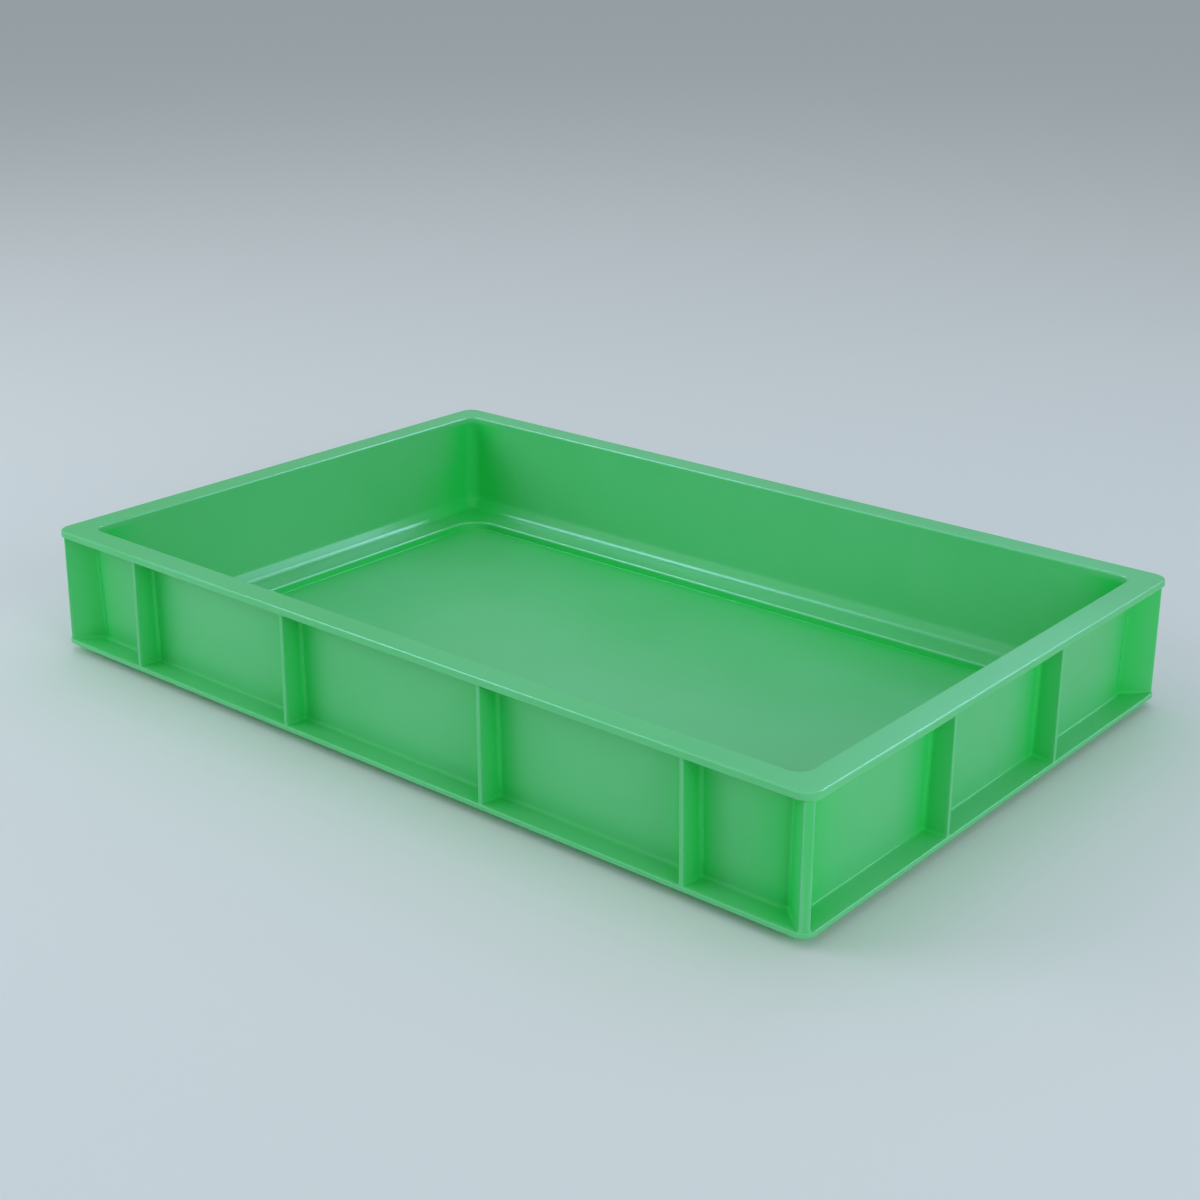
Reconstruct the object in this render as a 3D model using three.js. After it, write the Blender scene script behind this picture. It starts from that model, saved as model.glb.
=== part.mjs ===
// Shallow stacking tray, 600 x 400 x 85 mm, one plastic moulding.
// Each functional region of the moulding is a solid of its own, and the regions meet face to face.
// Millimetres, +Z up, X along the long sides, origin under the middle of the tray on the ground.
import * as THREE from 'three';

// ---- driving dimensions ----
const length = 600;            // outside, along X
const width = 400;             // outside, along Y
const height = 85;             // ground to the top of the rim
const wall = 2.7;              // thickness of walls and floor

const footDrop = 6;            // stacking foot below the base flange
const footInset = 19.5;        // its outer face, from the outside of the tray
const footThickness = 3;

const flangeInset = 2;         // base flange edge, from the outside of the tray
const flangeThickness = 3;
const flangeRadius = 9;        // its corners in plan

const rimThickness = 4.5;      // depth of the rim's outer edge
const rimRadius = 10;          // rim corners in plan
const rimOuterRound = 1.2;     // rounding of the top outer edge
const rimInnerRound = 1.6;     // rounding of the top inner edge

const wallInsetTop = 15.3;     // outer face of the wall under the rim
const wallInsetBottom = 17.8;  // the same face at the floor ledge: the walls are drafted
const cornerRadiusTop = 10.7;  // outside corner of the wall under the rim
const cornerRadiusBottom = 12.7;
const cornerReach = 31;        // plan size of a corner wall, each way

const ledgeHeight = 12.5;      // top of the ledge round the floor
const ledgeInset = 46;         // where the ledge ends and the floor drops
const floorDrop = 5.8;         // from the ledge down to the floor
const floorRadius = 20;        // corners of the dropped floor in plan

const ribThickness = 3.2;
const longSideRibs = [-220, -80, 80, 220];
const shortSideRibs = [-61, 61];
const ribInsetTop = 1.2;       // outer edge of a rib under the rim
const ribInsetBottom = 2.6;    // and on the base flange
const cornerRibThickness = 6.5;

const arcSteps = 6;            // facets in each rounded corner
const roundSteps = 3;          // facets in each rounded edge
const bondGap = 0.3;           // keeps a rib clear of the sloping wall behind it

// ---- derived heights ----
const flangeTop = footDrop + flangeThickness;
const rimUnderside = height - rimThickness;
const floorTop = ledgeHeight - floorDrop;
const floorUnderside = floorTop - wall;

const green = new THREE.MeshStandardMaterial({ color: 0x4fb176, roughness: 0.42, metalness: 0 });

// ---- solids from sections ----

// Joins a row of sections, each the same outline at another place, into one closed solid.
// A looped row closes on itself, and an open row is capped with the outline's triangles.
function sweep(sections, looped, outline) {
  const count = sections[0].length;
  const triangles = [];
  const spans = looped ? sections.length : sections.length - 1;
  for (let s = 0; s < spans; s += 1) {
    const here = s * count;
    const next = ((s + 1) % sections.length) * count;
    for (let i = 0; i < count; i += 1) {
      const j = (i + 1) % count;
      triangles.push(here + i, here + j, next + j, here + i, next + j, next + i);
    }
  }
  if (!looped) {
    const last = (sections.length - 1) * count;
    for (const [a, b, c] of THREE.ShapeUtils.triangulateShape(outline, [])) {
      triangles.push(c, b, a, last + a, last + b, last + c);
    }
  }
  const geometry = new THREE.BufferGeometry();
  geometry.setFromPoints(sections.flat());
  geometry.setIndex(triangles);
  geometry.computeVertexNormals();
  return geometry;
}

// A profile is an anticlockwise list of { inset, z, radius }, seen with the outside of the tray on
// the left: the distance in from the outside, the height, and the plan radius at the corners.
const at = (inset, z, radius) => ({ inset, z, radius });
const flat = (profile) => profile.map(({ inset, z }) => new THREE.Vector2(inset, z));

const corners = [
  { name: 'rear_right', x: 1, y: 1, start: 0 },
  { name: 'rear_left', x: -1, y: 1, start: Math.PI / 2 },
  { name: 'front_left', x: -1, y: -1, start: Math.PI },
  { name: 'front_right', x: 1, y: -1, start: (3 * Math.PI) / 2 },
];

// The profile where the path round the tray has turned through the given share of a corner.
function cornerSection(profile, corner, share) {
  const angle = corner.start + (share * Math.PI) / 2;
  return profile.map(({ inset, z, radius }) => new THREE.Vector3(
    corner.x * (length / 2 - inset - radius) + radius * Math.cos(angle),
    corner.y * (width / 2 - inset - radius) + radius * Math.sin(angle),
    z,
  ));
}

function cornerSections(profile, corner) {
  return Array.from({ length: arcSteps + 1 }, (_, i) => cornerSection(profile, corner, i / arcSteps));
}

// A closed band all the way round the tray.
function ring(profile) {
  return sweep(corners.flatMap((corner) => cornerSections(profile, corner)), true);
}

// The same profile round one corner only, cut square at cornerReach along both sides.
function cornerPiece(profile, corner) {
  const arc = cornerSections(profile, corner);
  const cutX = corner.x * (length / 2 - cornerReach);
  const cutY = corner.y * (width / 2 - cornerReach);
  const cutAcross = (section) => section.map((p) => new THREE.Vector3(cutX, p.y, p.z));
  const cutAlong = (section) => section.map((p) => new THREE.Vector3(p.x, cutY, p.z));
  const startsOnShortSide = corner.x * corner.y > 0;
  const first = startsOnShortSide ? cutAlong(arc[0]) : cutAcross(arc[0]);
  const last = startsOnShortSide ? cutAcross(arc[arcSteps]) : cutAlong(arc[arcSteps]);
  return sweep([first, ...arc, last], false, flat(profile));
}

// A straight bar of the profile in a side's own frame: X along the side, Y in from the outside.
function bar(profile, from, to) {
  const section = (x) => profile.map(({ inset, z }) => new THREE.Vector3(x, inset, z));
  return sweep([section(from), section(to)], false, flat(profile));
}

// A quarter round rising from a vertical face to the rim's flat top. The sign is +1 where the
// rim lies inward of that face and -1 where it lies outward of it.
function edgeRound(faceInset, radius, sign) {
  return Array.from({ length: roundSteps + 1 }, (_, i) => {
    const angle = (i / roundSteps) * (Math.PI / 2);
    return {
      inset: faceInset + sign * radius * (1 - Math.cos(angle)),
      z: height - radius * (1 - Math.sin(angle)),
    };
  });
}

// ---- the regions of the moulding ----

const group = new THREE.Group();

function add(parent, name, geometry) {
  const mesh = new THREE.Mesh(geometry, green);
  mesh.name = name;
  parent.add(mesh);
}

// Rim: a flat band with softly rounded edges.
function topRim() {
  const innerInset = wallInsetTop + wall;
  const innerRadius = cornerRadiusTop - wall;
  const outerEdge = edgeRound(0, rimOuterRound, 1);
  const innerEdge = edgeRound(innerInset, rimInnerRound, -1);
  const profile = [
    ...innerEdge.map(({ inset, z }) => at(inset, z, innerRadius + innerInset - inset)),
    ...outerEdge.reverse().map(({ inset, z }) => at(inset, z, rimRadius - inset)),
    at(0, rimUnderside, rimRadius),
  ];
  add(group, 'top_rim', ring(profile));
}

// Walls: drafted plates from the ledge to the rim, straight on each side and rounded at the corners.
function wallProfile() {
  return [
    at(wallInsetBottom + wall, ledgeHeight, cornerRadiusBottom - wall),
    at(wallInsetTop + wall, rimUnderside, cornerRadiusTop - wall),
    at(wallInsetTop, rimUnderside, cornerRadiusTop),
    at(wallInsetBottom, ledgeHeight, cornerRadiusBottom),
  ];
}

// Base: an outward flange under the walls, an inward ledge, a riser down from it to the dropped
// floor, and a foot to stand on.
function base() {
  const footInner = footInset + footThickness;
  add(group, 'base_flange', ring([
    at(footInner, footDrop, flangeRadius),
    at(footInner, flangeTop, flangeRadius),
    at(flangeInset, flangeTop, flangeRadius),
    at(flangeInset, footDrop, flangeRadius),
  ]));
  add(group, 'stacking_foot', ring([
    at(footInner, 0, flangeRadius),
    at(footInner, footDrop, flangeRadius),
    at(footInset, footDrop, flangeRadius),
    at(footInset, 0, flangeRadius),
  ]));
  add(group, 'floor_ledge', ring([
    at(ledgeInset, flangeTop, floorRadius),
    at(ledgeInset, ledgeHeight, floorRadius),
    at(wallInsetBottom, ledgeHeight, cornerRadiusBottom),
    at(wallInsetBottom, flangeTop, cornerRadiusBottom),
  ]));
  const riserInset = ledgeInset - wall;
  const riserRadius = floorRadius + wall;
  add(group, 'floor_riser', ring([
    at(ledgeInset, floorTop, floorRadius),
    at(ledgeInset, flangeTop, floorRadius),
    at(riserInset, flangeTop, riserRadius),
    at(riserInset, floorTop, riserRadius),
  ]));
  const outline = corners.flatMap((corner) => cornerSections([at(riserInset, 0, riserRadius)], corner))
    .map(([p]) => new THREE.Vector2(p.x, p.y));
  const panel = new THREE.ExtrudeGeometry(new THREE.Shape(outline), { depth: wall, bevelEnabled: false });
  panel.translate(0, 0, floorUnderside);
  add(group, 'floor_panel', panel);
}

// A rib stands on the flange against the wall and reaches the rim.
function ribProfile(outerBottom, outerTop, wallBottom, wallTop) {
  return [
    at(wallBottom - bondGap, flangeTop),
    at(wallBottom - bondGap, ledgeHeight),
    at(wallTop - bondGap, rimUnderside),
    at(outerTop, rimUnderside),
    at(outerBottom, flangeTop),
  ];
}

function side(name, x, y, turn, halfSpan, ribs) {
  const frame = new THREE.Group();
  frame.position.set(x, y, 0);
  frame.rotation.z = turn;
  add(frame, `${name}_wall`, bar(wallProfile(), cornerReach - halfSpan, halfSpan - cornerReach));
  const profile = ribProfile(ribInsetBottom, ribInsetTop, wallInsetBottom, wallInsetTop);
  ribs.forEach((centre, i) => {
    const geometry = bar(profile, centre - ribThickness / 2, centre + ribThickness / 2);
    add(frame, `${name}_rib_${i + 1}`, geometry);
  });
  group.add(frame);
}

// Distance along the diagonal from a sharp plan corner to the middle of its rounded one.
const diagonal = (inset, radius) => (inset + radius) * Math.SQRT2 - radius;

function cornerRegion(corner) {
  add(group, `corner_wall_${corner.name}`, cornerPiece(wallProfile(), corner));
  const frame = new THREE.Group();
  frame.position.set((corner.x * length) / 2, (corner.y * width) / 2, 0);
  frame.rotation.z = corner.start + (3 * Math.PI) / 4;
  const profile = ribProfile(
    diagonal(ribInsetBottom, flangeRadius),
    diagonal(ribInsetTop, rimRadius),
    diagonal(wallInsetBottom, cornerRadiusBottom),
    diagonal(wallInsetTop, cornerRadiusTop),
  );
  const half = cornerRibThickness / 2;
  add(frame, `corner_rib_${corner.name}`, bar(profile, -half, half));
  group.add(frame);
}

topRim();
base();
side('front', 0, -width / 2, 0, length / 2, longSideRibs);
side('rear', 0, width / 2, Math.PI, length / 2, longSideRibs);
side('right', length / 2, 0, Math.PI / 2, width / 2, shortSideRibs);
side('left', -length / 2, 0, -Math.PI / 2, width / 2, shortSideRibs);
corners.forEach(cornerRegion);

export default group;
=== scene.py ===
"""Visual model of the shallow stacking tray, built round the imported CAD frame.

The tray is one green plastic moulding. Each region of it is a piece with its real fillets, drafts and
rounded edges. The pieces meet in flat places, so their joins do not show. Shapes are worked out in
millimetres and written to the meshes in metres. "Inset" is the distance in from the tray's outside.
"""
import math

import bpy
import bmesh
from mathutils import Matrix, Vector


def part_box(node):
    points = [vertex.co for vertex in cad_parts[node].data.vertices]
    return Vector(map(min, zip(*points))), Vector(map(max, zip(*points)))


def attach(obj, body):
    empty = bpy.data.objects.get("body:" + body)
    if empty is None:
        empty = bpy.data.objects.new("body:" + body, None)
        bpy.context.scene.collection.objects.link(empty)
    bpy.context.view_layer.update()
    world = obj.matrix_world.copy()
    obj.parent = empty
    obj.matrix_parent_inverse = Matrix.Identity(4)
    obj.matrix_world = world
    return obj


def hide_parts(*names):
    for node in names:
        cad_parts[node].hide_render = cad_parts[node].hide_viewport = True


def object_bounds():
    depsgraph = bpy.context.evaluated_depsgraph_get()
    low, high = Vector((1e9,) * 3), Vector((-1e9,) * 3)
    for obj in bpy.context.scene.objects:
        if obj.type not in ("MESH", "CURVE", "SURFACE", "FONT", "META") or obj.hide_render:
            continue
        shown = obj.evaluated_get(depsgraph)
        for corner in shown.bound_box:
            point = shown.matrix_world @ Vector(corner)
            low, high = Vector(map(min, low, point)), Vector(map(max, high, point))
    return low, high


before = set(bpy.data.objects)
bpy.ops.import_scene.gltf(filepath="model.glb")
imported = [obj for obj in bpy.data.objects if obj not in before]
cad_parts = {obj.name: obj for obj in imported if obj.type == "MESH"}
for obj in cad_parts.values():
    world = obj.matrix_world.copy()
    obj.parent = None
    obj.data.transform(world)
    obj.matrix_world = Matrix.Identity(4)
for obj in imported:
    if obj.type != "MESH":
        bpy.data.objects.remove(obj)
cad_box = [list(corner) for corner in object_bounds()]

MM = 0.001


def box_mm(node):
    lo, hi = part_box(node)
    return [c / MM for c in lo], [c / MM for c in hi]


def middle_mm(node, axis):
    lo, hi = box_mm(node)
    return round((lo[axis] + hi[axis]) / 2, 3)


# ---- sizes read from the CAD frame ----
WALL = 2.7                                 # thickness of walls and floor
RIB_DRAFT = 1.4                            # how much further in a rib's outer edge is at its foot
half_x = cad_box[1][0] / MM
half_y = cad_box[1][1] / MM
rim_top = cad_box[1][2] / MM
rim_under = box_mm("top_rim")[0][2]
(_, wall_lo, wall_bottom), (_, wall_hi, _) = box_mm("front_wall")
wall_out_top = half_y + wall_lo            # outer face under the rim
wall_in_bottom = half_y + wall_hi          # inner face at the ledge
wall_out_bottom = wall_in_bottom - WALL
wall_in_top = wall_out_top + WALL
ledge_top = box_mm("floor_ledge")[1][2]
ledge_under = box_mm("floor_ledge")[0][2]
riser_inset = half_x - box_mm("floor_riser")[1][0]
step_inset = riser_inset + WALL            # where the ledge ends
floor_under = box_mm("floor_panel")[0][2]
floor_top = box_mm("floor_panel")[1][2]
flange_inset = half_x - box_mm("base_flange")[1][0]
flange_under = box_mm("base_flange")[0][2]
flange_top = box_mm("base_flange")[1][2]
foot_inset = half_x - box_mm("stacking_foot")[1][0]
rib_out_top = half_y + box_mm("front_rib_1")[0][1]
rib_out_bottom = rib_out_top + RIB_DRAFT
long_ribs = [middle_mm(f"front_rib_{i}", 0) for i in range(1, 5)]
short_ribs = [middle_mm(f"right_rib_{i}", 1) for i in range(1, 3)]

# ---- moulding details ----
RIM_RADIUS = 10.0          # rim corners in plan
RIM_OUTER_ROUND = 1.2      # rounding of the rim's top outer edge
RIM_INNER_ROUND = 1.6      # rounding of its top inner edge
FLANGE_RADIUS = 9.0        # flange corners in plan, and the foot's
INSIDE_RADIUS_TOP = 8.0    # inside corner of the walls under the rim
INSIDE_RADIUS_BOTTOM = 10.0
STEP_RADIUS = 20.0         # corners of the step down to the floor
FOOT_THICKNESS = 3.0       # of the ring that the tray stands on
CORNER_REACH = 31.0        # plan size of a corner wall
RIM_CUT = rim_under - 2.6  # height where the rim piece meets the walls
WALL_FOOT = 23.5           # height where the walls meet the ledge piece
LEDGE_CUT = 41.5           # inset where the ledge meets the riser piece
FLOOR_CUT = 48.5           # inset where the riser piece meets the floor panel
ARC_STEPS = 16             # facets in a rounded corner
ROUND_STEPS = 6            # facets in a fillet
SHARP_ANGLE = 38.0         # degrees; a crease above this is shaded as a hard edge

centre_top = wall_in_top + INSIDE_RADIUS_TOP             # insets that the corners turn about
centre_bottom = wall_in_bottom + INSIDE_RADIUS_BOTTOM
centre_step = step_inset + STEP_RADIUS
centre_flange = flange_inset + FLANGE_RADIUS
draft = (wall_out_bottom - wall_out_top) / (rim_under - wall_bottom)


def wall_out(z):
    return wall_out_top + (rim_under - z) * draft


def wall_in(z):
    return wall_out(z) + WALL


def wall_centre(z):
    share = (rim_under - z) / (rim_under - wall_bottom)
    return centre_top + share * (centre_bottom - centre_top)


# ---- profiles ----
# A profile point is (inset, z, corner radius, edge), where edge is 1 on a convex edge, -1 in a
# concave one and 0 elsewhere.

def on_wall(inset, z, edge=0.0):
    return (inset, z, wall_centre(z) - inset, edge)


def about(centre):
    """Points whose corners turn about the given inset."""
    return lambda inset, z, edge=0.0: (inset, z, centre - inset, edge)


def fillet(point, cx, cz, radius, start, end, edge):
    """A rounded edge about (cx, cz), from one angle to another in degrees."""
    out = []
    for i in range(ROUND_STEPS + 1):
        t = i / ROUND_STEPS
        a = math.radians(start + (end - start) * t)
        out.append(point(cx + radius * math.cos(a), cz + radius * math.sin(a),
                         edge * math.sin(math.pi * t)))
    return out


# ---- meshes ----
CORNERS = [  # name, x sign, y sign, start angle
    ("rear_right", 1, 1, 0.0),
    ("rear_left", -1, 1, math.pi / 2),
    ("front_left", -1, -1, math.pi),
    ("front_right", 1, -1, 3 * math.pi / 2),
]


def corner_section(profile, corner, share):
    _, sx, sy, start = corner
    a = start + share * math.pi / 2
    return [((sx * (half_x - inset - r) + r * math.cos(a),
              sy * (half_y - inset - r) + r * math.sin(a), z), edge)
            for inset, z, r, edge in profile]


def corner_sections(profile, corner):
    return [corner_section(profile, corner, i / ARC_STEPS) for i in range(ARC_STEPS + 1)]


def finish_mesh(name, bm, material, cad_node, sharp):
    """Closes, orients and smooths a mesh, hangs the piece under the root body and hides the CAD node it
    stands in for.
    """
    bmesh.ops.remove_doubles(bm, verts=bm.verts, dist=1e-7)
    bmesh.ops.recalc_face_normals(bm, faces=bm.faces)
    mesh = bpy.data.meshes.new(name)
    bm.to_mesh(mesh)
    bm.free()
    mesh.shade_smooth()
    mesh.set_sharp_from_angle(angle=math.radians(sharp))
    mesh.materials.append(material)
    piece = bpy.data.objects.new(name, mesh)
    bpy.context.scene.collection.objects.link(piece)
    weighted = piece.modifiers.new("even_shading", "WEIGHTED_NORMAL")
    weighted.mode = "FACE_AREA"
    weighted.keep_sharp = True
    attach(piece, "root")
    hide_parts(cad_node)


def loft(name, sections, looped, material, cad_node, sharp=SHARP_ANGLE):
    """Joins sections, each a list of ((x, y, z), edge) in millimetres, into one closed skin."""
    bm = bmesh.new()
    layer = bm.verts.layers.float.new("edge")
    rows = []
    for section in sections:
        row = []
        for (x, y, z), edge in section:
            v = bm.verts.new((x * MM, y * MM, z * MM))
            v[layer] = edge
            row.append(v)
        rows.append(row)
    count = len(rows[0])
    spans = len(rows) if looped else len(rows) - 1
    for s in range(spans):
        here = rows[s]
        there = rows[(s + 1) % len(rows)]
        for i in range(count):
            j = (i + 1) % count
            bm.faces.new((here[i], here[j], there[j], there[i]))
    if not looped:
        bm.faces.new(list(reversed(rows[0])))
        bm.faces.new(rows[-1])
    finish_mesh(name, bm, material, cad_node, sharp)


# ---- material ----
BODY = (0.145, 0.700, 0.270, 1.0)      # light satin green
DRIFT = (0.125, 0.680, 0.240, 1.0)     # where the pigment runs a little deeper
RUBBED_AND_HIGHLIGHT = (0.180, 0.740, 0.320, 1.0)    # rubbed convex edges, partly a painted highlight
SHADE_GREEN = (0.012, 0.720, 0.110, 1.0)    # painted shade: a darker, saturated green for recesses and corners
SHADE_MOST = 0.85                     # the most of the painted shade that shows
CREASE_SHADE = 0.45                   # how strong the painted shade is in a concave edge


class Nodes:
    """Short names for the shader nodes that the plastic is made of."""

    def __init__(self, tree):
        self.nodes = tree.nodes
        self.links = tree.links

    def add(self, kind, **settings):
        node = self.nodes.new(kind)
        for key, value in settings.items():
            setattr(node, key, value)
        return node

    def feed(self, socket, value):
        if isinstance(value, (float, tuple)):
            socket.default_value = value
        else:
            self.links.new(value, socket)

    def math(self, operation, *values):
        node = self.add("ShaderNodeMath", operation=operation)
        for socket, value in zip(node.inputs, values):
            self.feed(socket, value)
        return node.outputs["Value"]

    def plus(self, a, b):
        return self.math("ADD", a, b)

    def minus(self, a, b):
        return self.math("SUBTRACT", a, b)

    def times(self, a, b):
        return self.math("MULTIPLY", a, b)

    def least(self, a, b):
        return self.math("MINIMUM", a, b)

    def most(self, a, b):
        return self.math("MAXIMUM", a, b)

    def absolute(self, value):
        return self.math("ABSOLUTE", value)

    def pick(self, test, yes, no):
        """One value where the test is 1 and the other where it is 0."""
        return self.plus(self.times(test, yes), self.times(self.minus(1.0, test), no))

    def fading(self, distance, spread):
        """1 at no distance, and e times less after each spread."""
        return self.math("EXPONENT", self.times(distance, -1 / spread))

    def remap(self, value, lo, hi, to_lo, to_hi):
        """A smooth step from one value to another."""
        node = self.add("ShaderNodeMapRange", interpolation_type="SMOOTHSTEP")
        for socket, v in zip(list(node.inputs)[:5], (value, lo, hi, to_lo, to_hi)):
            self.feed(socket, v)
        return node.outputs["Result"]

    def mix(self, share, a, b):
        node = self.add("ShaderNodeMix", data_type="RGBA")
        for name, value in (("Factor", share), ("A", a), ("B", b)):
            self.feed(next(i for i in node.inputs if i.name == name and i.enabled), value)
        return next(o for o in node.outputs if o.enabled)

    def noise(self, place, scale, detail, roughness=0.5):
        node = self.add("ShaderNodeTexNoise")
        self.feed(node.inputs["Vector"], place)
        for name, value in (("Scale", scale), ("Detail", detail), ("Roughness", roughness)):
            node.inputs[name].default_value = value
        return node.outputs["Fac"]

    def turned(self, place, scale, angle):
        node = self.add("ShaderNodeMapping")
        node.inputs["Scale"].default_value = scale
        node.inputs["Rotation"].default_value = (0.0, 0.0, math.radians(angle))
        self.feed(node.inputs["Vector"], place)
        return node.outputs["Vector"]

    def bump(self, height, strength, distance, under=None):
        node = self.add("ShaderNodeBump")
        node.inputs["Strength"].default_value = strength
        node.inputs["Distance"].default_value = distance
        self.feed(node.inputs["Height"], height)
        if under:
            self.feed(node.inputs["Normal"], under)
        return node.outputs["Normal"]


def inner_painted_shade(n, x, y, z, low):
    """Painted shade inside the tray: a darker green in the upright corners, and on the floor along the
    foot of the riser. low is 0 under the rim and 1 at the flange."""
    spread_top = 24.0          # how far a corner's painted shade spreads under the rim, in millimetres
    spread_foot = 46.0         # and lower down
    corner_on_floor = 0.35     # how strong a corner's painted shade is on the floor
    corner_on_walls = 1.25     # and on the walls, where it is cut off at 1
    riser_spread = 13.0        # how far the riser's painted shade spreads over the floor
    riser_depth = 0.9
    from_end = n.minus(half_x - wall_in_bottom, x)
    from_side = n.minus(half_y - wall_in_bottom, y)
    to_corner = n.most(n.most(from_end, from_side), 0.0)
    ratio = n.math("DIVIDE", to_corner, n.remap(low, 0.0, 1.0, spread_top, spread_foot))
    corner = n.math("EXPONENT", n.times(n.times(ratio, ratio), -1.0))
    corner = n.times(corner, n.remap(z, floor_top, ledge_top, corner_on_floor, corner_on_walls))
    to_wall = n.least(from_end, from_side)
    past_step = n.most(n.minus(to_wall, step_inset - wall_in_bottom), 0.0)
    below_ledge = n.remap(z, ledge_top - 2.0, ledge_top - 0.8, riser_depth, 0.0)
    riser = n.times(n.fading(past_step, riser_spread), below_ledge)
    return n.most(n.least(corner, 1.0), riser)


def to_rib(n, coordinate, ribs, half):
    """Distance along a side to the nearest rib, from a coordinate without its sign. The thick
    corner ribs count as nearer than they are."""
    corner_share = 0.48
    distance = n.times(n.absolute(n.minus(coordinate, half - wall_out_top)), corner_share)
    for rib_place in ribs:
        if rib_place > 0:
            distance = n.least(distance, n.absolute(n.minus(coordinate, rib_place)))
    return distance


def outer_painted_shade(n, x, y, past_x, past_y):
    """Painted shade outside the tray: on the wall close to a rib, and less so towards its outer edge.
    past_x and past_y are the distances outward from the middle of the wall."""
    spread = 11.0              # how far a rib's painted shade spreads along the wall
    gain = 1.5                 # keeps it at its deepest close to the rib
    wall_face = 1.3            # the wall's outer face
    rib_edge = 14.0            # a rib's outer edge
    edge_depth = 0.55          # and how strong the painted shade still is there
    fade_from = 13.8           # beyond the outer edge it fades to nothing
    fade_to = 15.2
    on_end = n.math("GREATER_THAN", past_x, past_y)
    distance = n.pick(on_end, to_rib(n, y, short_ribs, half_y), to_rib(n, x, long_ribs, half_x))
    past = n.most(past_x, past_y)
    depth = n.times(n.remap(past, wall_face, rib_edge, 1.0, edge_depth),
                    n.remap(past, fade_from, fade_to, 1.0, 0.0))
    return n.times(n.least(n.times(n.fading(distance, spread), gain), 1.0), depth)


def painted_shade_share(n, place):
    """How much painted shade a point of the tray gets, from 0 to 1: a darker, saturated green painted
    into the inner corners, and beside and between the ribs, where shade falls. The rim gets a little
    too."""
    # painted shade on the rim too, growing towards its top
    rim_depth = 0.25
    split = n.add("ShaderNodeSeparateXYZ")
    n.feed(split.inputs["Vector"], place)
    x = n.times(n.absolute(split.outputs["X"]), 1 / MM)
    y = n.times(n.absolute(split.outputs["Y"]), 1 / MM)
    z = n.times(split.outputs["Z"], 1 / MM)
    low = n.remap(z, flange_top, rim_under, 1.0, 0.0)
    middle = n.math("MULTIPLY_ADD", low, wall_out_bottom - wall_out_top, wall_out_top + WALL / 2)
    past_x = n.minus(n.plus(x, middle), half_x)
    past_y = n.minus(n.plus(y, middle), half_y)
    outside = n.math("GREATER_THAN", n.most(past_x, past_y), 0.0)
    both = n.pick(outside, outer_painted_shade(n, x, y, past_x, past_y), inner_painted_shade(n, x, y, z, low))
    below_rim = n.times(both, n.remap(z, rim_under - 1.0, rim_under + 2.0, 1.0, 0.0))
    return n.plus(below_rim, n.remap(z, rim_under + 2.0, rim_top, 0.0, rim_depth))


def plastic(name):
    mat = bpy.data.materials.new(name)
    mat.use_nodes = True
    mat.node_tree.nodes.clear()
    n = Nodes(mat.node_tree)
    shader = n.add("ShaderNodeBsdfPrincipled")
    shader.inputs["IOR"].default_value = 1.5
    shader.inputs["Specular IOR Level"].default_value = 0.45
    n.feed(n.add("ShaderNodeOutputMaterial").inputs["Surface"], shader.outputs["BSDF"])
    place = n.add("ShaderNodeTexCoord").outputs["Object"]
    edge = n.add("ShaderNodeAttribute", attribute_name="edge").outputs["Fac"]

    # colour: slow drift of the pigment, painted shade in recesses and creases, rubbed edges that are
    # partly a painted highlight
    drift = n.noise(place, scale=9.0, detail=3.0)
    colour = n.mix(n.remap(drift, 0.32, 0.68, 0.0, 1.0), DRIFT, BODY)
    # painted shade: a darker, saturated green in concave creases, corners and recesses
    crease_shade = n.remap(edge, -1.0, 0.0, CREASE_SHADE, 0.0)
    painted_shade = n.most(painted_shade_share(n, place), crease_shade)
    colour = n.mix(n.times(painted_shade, SHADE_MOST), colour, SHADE_GREEN)
    # rubbed convex edges, lighter in patches: partly wear, partly a painted highlight along the edges
    patches = n.noise(place, scale=55.0, detail=5.0, roughness=0.65)
    rubbed_and_highlight = n.times(n.remap(edge, 0.15, 1.0, 0.0, 1.0), n.remap(patches, 0.30, 0.60, 0.35, 0.9))
    colour = n.mix(rubbed_and_highlight, colour, RUBBED_AND_HIGHLIGHT)
    n.feed(shader.inputs["Base Color"], colour)

    # roughness: satin, with fine handling scuffs in two directions
    scuff_depth = 0.08
    scuff_stretch = (1.0, 0.08, 1.0)
    scuffs = []
    for angle in (24.0, 98.0):
        streaks = n.noise(n.turned(place, scuff_stretch, angle), scale=230.0, detail=4.0, roughness=0.6)
        scuffs.append(n.remap(streaks, 0.66, 0.80, 0.0, scuff_depth))
    smear = n.remap(n.noise(place, scale=5.0, detail=2.0), 0.25, 0.75, 0.285, 0.35)
    n.feed(shader.inputs["Roughness"], n.plus(smear, n.most(*scuffs)))

    # relief: moulded grain over a faint waviness of the skin
    grain = n.bump(n.noise(place, scale=1400.0, detail=2.0), strength=0.25, distance=0.00002)
    waves = n.noise(place, scale=28.0, detail=2.0)
    n.feed(shader.inputs["Normal"], n.bump(waves, strength=0.35, distance=0.00025, under=grain))
    return mat


green = plastic("green_plastic")

# ---- rings: rim, ledge, riser, flange and foot ----


def ring(node, profile):
    sections = [s for corner in CORNERS for s in corner_sections(profile, corner)]
    loft(node + "_moulded", sections, True, green, node)


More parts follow.
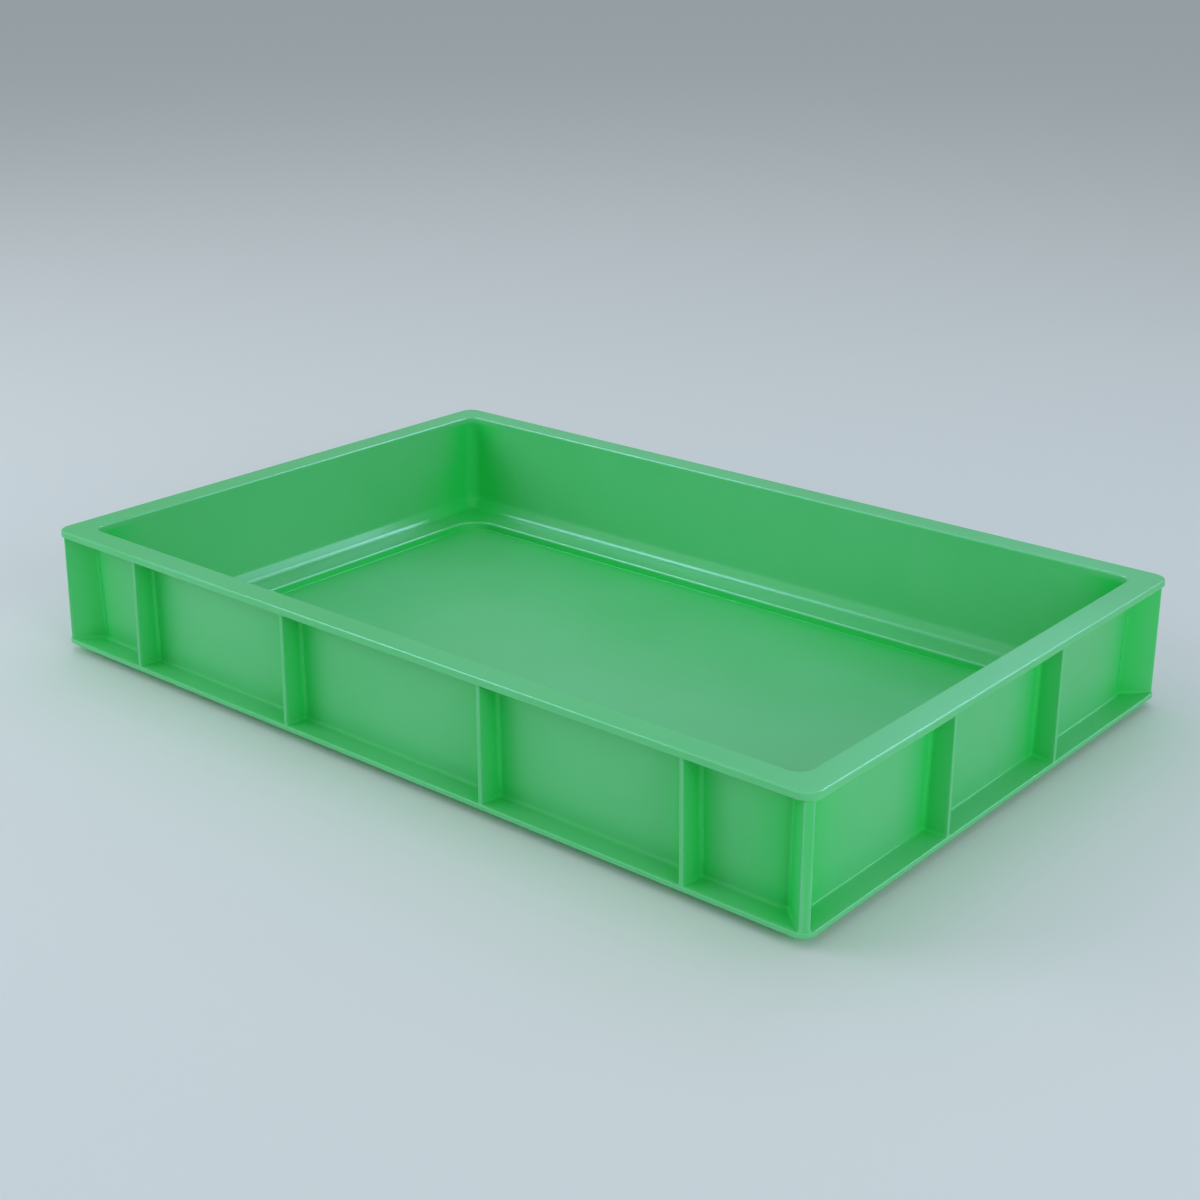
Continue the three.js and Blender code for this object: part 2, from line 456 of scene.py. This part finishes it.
def rim_profile():
    root = 2.2                             # fillet from the wall out to the rim
    lip = 0.8                              # rounding of the rim's lower edge
    inner = about(centre_top)
    outer = about(RIM_RADIUS)
    flat_in = wall_in_top - RIM_INNER_ROUND
    return (
        [on_wall(wall_in(RIM_CUT), RIM_CUT)]
        + fillet(inner, flat_in, rim_top - RIM_INNER_ROUND, RIM_INNER_ROUND, 0, 90, 1)
        + fillet(outer, RIM_OUTER_ROUND, rim_top - RIM_OUTER_ROUND, RIM_OUTER_ROUND, 90, 180, 1)
        + fillet(outer, lip, rim_under + lip, lip, 180, 270, 1)
        + fillet(inner, wall_out_top - root, rim_under - root, root, 90, 0, -1)
        + [on_wall(wall_out(RIM_CUT), RIM_CUT)]
    )


# The fillet at the foot of the wall belongs to the flange piece. A tongue behind it fills a notch
# in the ledge piece.
FLANGE_ROOT = 2.0          # radius of the fillet and height of the tongue
TONGUE = 2.2               # thickness of the tongue, in from the wall's outer face


def ledge_profile():
    splay = 4.5                            # how far the wall's foot leans in
    lean = math.radians(30)                # and at what angle from upright
    soft = 6.0                             # radius of the bends above and below it
    splay_top = ledge_top + splay / math.tan(lean)
    inner = about(centre_bottom)
    step = about(centre_step)
    tongue = wall_out_bottom + TONGUE
    return (
        [on_wall(wall_out(WALL_FOOT), WALL_FOOT), on_wall(wall_in(WALL_FOOT), WALL_FOOT)]
        + fillet(inner, wall_in(splay_top) + soft, splay_top + soft * math.tan(lean / 2),
                 soft, 180, 210, 0)
        + fillet(inner, wall_in(ledge_top) + splay + soft * math.tan(lean),
                 ledge_top + soft, soft, 210, 270, 0)
        + [step(LEDGE_CUT, ledge_top), step(LEDGE_CUT, ledge_under),
           inner(tongue, ledge_under), inner(tongue, flange_top + FLANGE_ROOT),
           inner(wall_out_bottom, flange_top + FLANGE_ROOT), inner(wall_out_bottom, ledge_top)]
    )


def riser_profile():
    edge = 1.6                             # rounding where the ledge turns down
    root = 0.5                             # fillet at the floor
    keel = 2.0                             # rounding under the floor's edge
    armpit = 1.5                           # fillet under the ledge
    step = about(centre_step)
    return (
        [step(LEDGE_CUT, ledge_under), step(LEDGE_CUT, ledge_top)]
        + fillet(step, step_inset - edge, ledge_top - edge, edge, 90, 0, 1)
        + fillet(step, step_inset + root, floor_top + root, root, 180, 270, -1)
        + [step(FLOOR_CUT, floor_top), step(FLOOR_CUT, floor_under)]
        + fillet(step, riser_inset + keel, floor_under + keel, keel, 270, 180, 1)
        + fillet(step, riser_inset - armpit, ledge_under - armpit, armpit, 0, 90, -1)
    )


def flange_profile():
    lip = 0.9                              # rounding of the upper outer edge
    keel = 0.6                             # and of the lower one
    root = FLANGE_ROOT
    end = foot_inset + FOOT_THICKNESS      # hidden inner end, under the ledge
    tongue = wall_out_bottom + TONGUE
    outer = about(centre_flange)
    inner = about(centre_bottom)
    return (
        [inner(end, flange_under), inner(end, flange_top), inner(tongue, flange_top),
         inner(tongue, flange_top + root)]
        + fillet(inner, wall_out_bottom - root, flange_top + root, root, 0, -90, -1)
        + fillet(outer, flange_inset + lip, flange_top - lip, lip, 90, 180, 1)
        + fillet(outer, flange_inset + keel, flange_under + keel, keel, 180, 270, 1)
    )


def foot_profile():
    toe = 0.8                              # rounding of the edges it stands on
    root = 1.0                             # fillets up to the flange
    lean = 0.15                            # how much each face leans in towards the toe
    outside = foot_inset + lean
    inside = foot_inset + FOOT_THICKNESS - lean
    turn = about(foot_inset + FLANGE_RADIUS)
    return (
        [turn(inside + root, flange_under)]
        + fillet(turn, outside - root, flange_under - root, root, 90, 0, -1)
        + fillet(turn, outside + lean + toe, toe, toe, 180, 270, 1)
        + fillet(turn, inside - lean - toe, toe, toe, 270, 360, 1)
        + fillet(turn, inside + root, flange_under - root, root, 180, 90, -1)[:-1]
    )


def floor_panel():
    turn = about(centre_step)
    top = [s[0] for c in CORNERS for s in corner_sections([turn(FLOOR_CUT, floor_top)], c)]
    bottom = [s[0] for c in CORNERS for s in corner_sections([turn(FLOOR_CUT, floor_under)], c)]
    loft("floor_panel_moulded", [bottom, top], False, green, "floor_panel")


ring("top_rim", rim_profile())
ring("floor_ledge", ledge_profile())
ring("floor_riser", riser_profile())
ring("base_flange", flange_profile())
ring("stacking_foot", foot_profile())
floor_panel()

# ---- walls ----
SIDES = [  # name, centre, turn, half of its length, ribs
    ("front", (0.0, -half_y), 0.0, half_x, long_ribs),
    ("rear", (0.0, half_y), math.pi, half_x, long_ribs),
    ("right", (half_x, 0.0), math.pi / 2, half_y, short_ribs),
    ("left", (-half_x, 0.0), -math.pi / 2, half_y, short_ribs),
]
WALL_LEVELS = [WALL_FOOT, 27.0, 34.0, 48.0, 62.0, 70.0, 75.0, RIM_CUT]
SINK = 0.16                # depth of the sink mark that a rib leaves on the inside
SINK_WIDTH = 3.6
SINK_CUTS = 7              # cuts across the mark, each side of its middle
SINK_STEP = 1.5            # and the distance between them
SINK_REACH = 10.0          # the wall is flat further from the rib than this
SINK_FADE_LOW = 12.0       # the mark fades out over this height above the wall's foot
SINK_FADE_HIGH = 10.0      # and over this below the rim


def placed(points, centre, turn):
    """Points (along, inset, z) of a side, in the tray's frame."""
    c = math.cos(turn)
    s = math.sin(turn)
    return [((centre[0] + c * u - s * v, centre[1] + s * u + c * v, z), e) for (u, v, z), e in points]


def side_wall(name, centre, turn, half, ribs):
    end = half - CORNER_REACH
    cuts = {-end, end}
    for rib_place in ribs:
        for k in range(-SINK_CUTS, SINK_CUTS + 1):
            cuts.add(rib_place + k * SINK_STEP)
    sections = []
    for u in sorted(cuts):
        near = min(abs(u - rib_place) for rib_place in ribs)
        sink = SINK * math.exp(-(near / SINK_WIDTH) ** 2) if near < SINK_REACH else 0.0
        inner = []
        outer = []
        for z in WALL_LEVELS:
            fade = min(1.0, (z - WALL_FOOT) / SINK_FADE_LOW, (RIM_CUT - z) / SINK_FADE_HIGH)
            inner.append(((u, wall_in(z) - sink * fade, z), 0.0))
            outer.append(((u, wall_out(z), z), 0.0))
        sections.append(placed(inner + outer[::-1], centre, turn))
    loft(f"{name}_wall_moulded", sections, False, green, f"{name}_wall")


def corner_wall(corner):
    name, sx, sy, _ = corner
    profile = ([on_wall(wall_in(z), z) for z in WALL_LEVELS]
               + [on_wall(wall_out(z), z) for z in reversed(WALL_LEVELS)])
    arc = corner_sections(profile, corner)
    cut_x = sx * (half_x - CORNER_REACH)
    cut_y = sy * (half_y - CORNER_REACH)

    def on_short_side(section):
        return [((p[0], cut_y, p[2]), e) for p, e in section]

    def on_long_side(section):
        return [((cut_x, p[1], p[2]), e) for p, e in section]

    first, last = (on_short_side, on_long_side) if sx * sy > 0 else (on_long_side, on_short_side)
    sections = [first(arc[0])] + arc + [last(arc[-1])]
    loft(f"corner_wall_{name}_moulded", sections, False, green, f"corner_wall_{name}")


# ---- ribs ----
SIDE_RIB = {"root_thickness": 3.3, "edge_thickness": 2.5, "root": 2.6, "edge_round": 0.9}
CORNER_RIB = {"root_thickness": 6.5, "edge_thickness": 5.8, "root": 2.4, "edge_round": 1.1}
RIB_FLARE = 1.9            # fillet between a rib and the flange or the rim
RIB_LEVELS = [28.0, 45.0, 62.0]
RIB_BURIED = 0.6           # how far a rib's ends reach into the flange and the rim
ROOT_BURIED = 1.2          # and its root into the wall
RIB_SHARP_ANGLE = 50.0


def flare_levels(radius):
    """(offset, height) pairs of a fillet that leaves a flat face and turns upright."""
    out = []
    for i in range(ROUND_STEPS + 1):
        a = i / ROUND_STEPS * math.pi / 2
        out.append((radius * (1 - math.sin(a)), radius * (1 - math.cos(a))))
    return out


def rib_outline(face, bend, outer, grow, root_thickness, edge_thickness, root, edge_round):
    """A rib's plan at one height, from the wall round the outer edge and back. face is the wall's
    place, bend the radius of a curved wall or None, and grow widens it into a fillet."""
    half_t = root_thickness / 2
    half_e = edge_thickness / 2
    if bend is None:
        cv = face - root
        to_wall = (0.0, 1.0)
    else:
        centre_v = face + bend
        cv = centre_v - math.sqrt((bend + root) ** 2 - (half_t + root) ** 2)
        dx = half_t + root
        dy = centre_v - cv
        size = math.hypot(dx, dy)
        to_wall = (dx / size, dy / size)
    cu = -half_t - root
    r = root - grow
    start = math.atan2(to_wall[1], to_wall[0])
    buried = r + ROOT_BURIED
    left = [((cu + to_wall[0] * buried, cv + to_wall[1] * buried), 0.0)]
    for i in range(ROUND_STEPS + 1):
        t = i / ROUND_STEPS
        a = start * (1 - t)
        left.append(((cu + r * math.cos(a), cv + r * math.sin(a)), -math.sin(math.pi * t)))
    reach = outer + edge_round
    middle_share = 0.75                    # of the fillet's spread, halfway to the outer edge
    edge_share = (edge_round + 2.5) / 9.0  # and at the outer edge
    grow_middle = grow * middle_share
    grow_edge = grow * edge_share
    left.append(((-(half_t + half_e) / 2 - grow_middle, (cv + reach) / 2), 0.0))
    left.append(((-half_e - grow_edge, reach), 0.0))
    for i in range(1, ROUND_STEPS + 1):
        t = i / ROUND_STEPS
        a = math.pi + t * math.pi / 2
        left.append(((-half_e + edge_round + (edge_round + grow_edge) * math.cos(a),
                      reach + edge_round * math.sin(a)), math.sin(math.pi * t)))
    right = [((-u, v), e) for (u, v), e in reversed(left)]
    return left + right


def rib(node, centre, turn, offset, face_at, bend_at, outer_at, shape):
    """A rib in a side's frame. face_at, bend_at and outer_at give the wall's place, its bend and
    the rib's outer edge at a height."""
    foot = flare_levels(RIB_FLARE)
    levels = [(flange_top - RIB_BURIED, foot[0][0])]
    levels += [(flange_top + h, d) for d, h in foot]
    levels += [(z, 0.0) for z in RIB_LEVELS]
    levels += [(rim_under - h, d) for d, h in reversed(foot)]
    levels += [(rim_under + RIB_BURIED, foot[0][0])]
    sections = []
    for z, grow in levels:
        zc = min(max(z, flange_top), rim_under)
        outline = rib_outline(face_at(zc), bend_at(zc), outer_at(zc), grow, **shape)
        points = [((offset + u, v, z), e) for (u, v), e in outline]
        sections.append(placed(points, centre, turn))
    loft(f"{node}_moulded", sections, False, green, node, RIB_SHARP_ANGLE)


def along_height(bottom, top):
    return lambda z: bottom + (z - flange_top) / (rim_under - flange_top) * (top - bottom)


def diagonal(inset, radius):
    """Distance along the diagonal from the sharp plan corner to the rounded one."""
    return (inset + radius) * math.sqrt(2) - radius


def wall_outside(z):
    return wall_out(max(z, ledge_top))


def corner_bend(z):
    return wall_centre(max(z, ledge_top)) - wall_outside(z)


def corner_outside(z):
    return diagonal(wall_outside(z), corner_bend(z))


def no_bend(z):
    return None


side_edge = along_height(rib_out_bottom, rib_out_top)
corner_edge = along_height(diagonal(rib_out_bottom, FLANGE_RADIUS), diagonal(rib_out_top, RIM_RADIUS))

for name, centre, turn, half, ribs in SIDES:
    side_wall(name, centre, turn, half, ribs)
    for i, rib_place in enumerate(ribs):
        rib(f"{name}_rib_{i + 1}", centre, turn, rib_place, wall_outside, no_bend, side_edge, SIDE_RIB)

for corner in CORNERS:
    name, sx, sy, start = corner
    corner_wall(corner)
    rib(f"corner_rib_{name}", (sx * half_x, sy * half_y), start + 3 * math.pi / 4, 0.0,
        corner_outside, corner_bend, corner_edge, CORNER_RIB)

# ---- studio, in metres ----
FLOOR_COLOUR = (0.88, 0.89, 0.90, 1.0)
FLOOR_REACH = 30.0
WHITE = (1.0, 1.0, 1.0)
COOL = (0.84, 0.94, 1.0)
PALE_BLUE = (0.55, 0.82, 1.0)
GLINT_BLUE = (0.45, 0.68, 1.0)
WORLD_COLOUR = (0.84, 0.95, 1.0, 1.0)
WORLD_STRENGTH = 0.40
TRAY_MIDDLE = (0.0, 0.0, 0.05)


def studio_floor():
    mat = bpy.data.materials.new("studio_floor")
    mat.use_nodes = True
    shader = mat.node_tree.nodes["Principled BSDF"]
    shader.inputs["Base Color"].default_value = FLOOR_COLOUR
    shader.inputs["Roughness"].default_value = 0.75
    mesh = bpy.data.meshes.new("studio_floor")
    bm = bmesh.new()
    bmesh.ops.create_grid(bm, x_segments=2, y_segments=2, size=FLOOR_REACH)
    bm.to_mesh(mesh)
    bm.free()
    mesh.materials.append(mat)
    floor = bpy.data.objects.new("studio_floor", mesh)
    bpy.context.scene.collection.objects.link(floor)


def area_light(name, place, width, depth, power, colour, target=TRAY_MIDDLE):
    light = bpy.data.lights.new(name, "AREA")
    light.shape = "RECTANGLE"
    light.size = width
    light.size_y = depth
    light.energy = power
    light.color = colour
    obj = bpy.data.objects.new(name, light)
    obj.location = place
    obj.rotation_euler = (Vector(target) - Vector(place)).to_track_quat("-Z", "Y").to_euler()
    obj.visible_camera = False
    bpy.context.scene.collection.objects.link(obj)
    return obj


def glint(name, place, width, depth, power, colour=GLINT_BLUE):
    """A light that only shows as a reflection, such as the fine lines along the rounded edges."""
    area_light(name, place, width, depth, power, colour).visible_diffuse = False


def softbox(name, place, width, depth, power, colour, target=TRAY_MIDDLE):
    """A light that only shades surfaces."""
    area_light(name, place, width, depth, power, colour, target).visible_glossy = False


def studio_lights():
    glint("left_strip", (-1.15, 0.10, 1.50), 1.0, 0.4, 25.0)
    glint("rear_strip", (0.0, 1.40, 1.35), 1.0, 0.4, 25.0)
    glint("right_strip", (1.0, 1.5, 1.0), 0.9, 0.3, 10.0)
    glint("background_softbox", (-1.5, 1.8, 1.0), 0.7, 0.7, 0.8, PALE_BLUE)
    softbox("overhead_softbox", (-0.5, 0.3, 2.2), 3.0, 3.0, 9.0, WHITE)
    softbox("front_softbox", (-1.45, -1.2, 0.85), 1.4, 1.0, 11.0, COOL, (-0.1, 0.0, 0.05))
    softbox("right_softbox", (2.2, -0.6, 0.9), 1.4, 1.0, 15.0, COOL)
    world = bpy.data.worlds.new("studio")
    world.use_nodes = True
    background = world.node_tree.nodes["Background"]
    background.inputs["Color"].default_value = WORLD_COLOUR
    background.inputs["Strength"].default_value = WORLD_STRENGTH
    bpy.context.scene.world = world
    bpy.context.scene.view_settings.view_transform = "Standard"


def studio_camera():
    data = bpy.data.cameras.new("camera")
    data.sensor_width = 36.0
    data.lens = 60.3
    data.shift_y = -0.2
    data.dof.use_dof = False
    data.clip_end = 100.0
    camera = bpy.data.objects.new("camera", data)
    camera.location = (0.78005, -0.94290, 0.51876)
    camera.rotation_euler = [math.radians(a) for a in (75.9442, -0.4620, 39.6831)]
    bpy.context.scene.collection.objects.link(camera)
    bpy.context.scene.camera = camera


studio_floor()
studio_lights()
studio_camera()
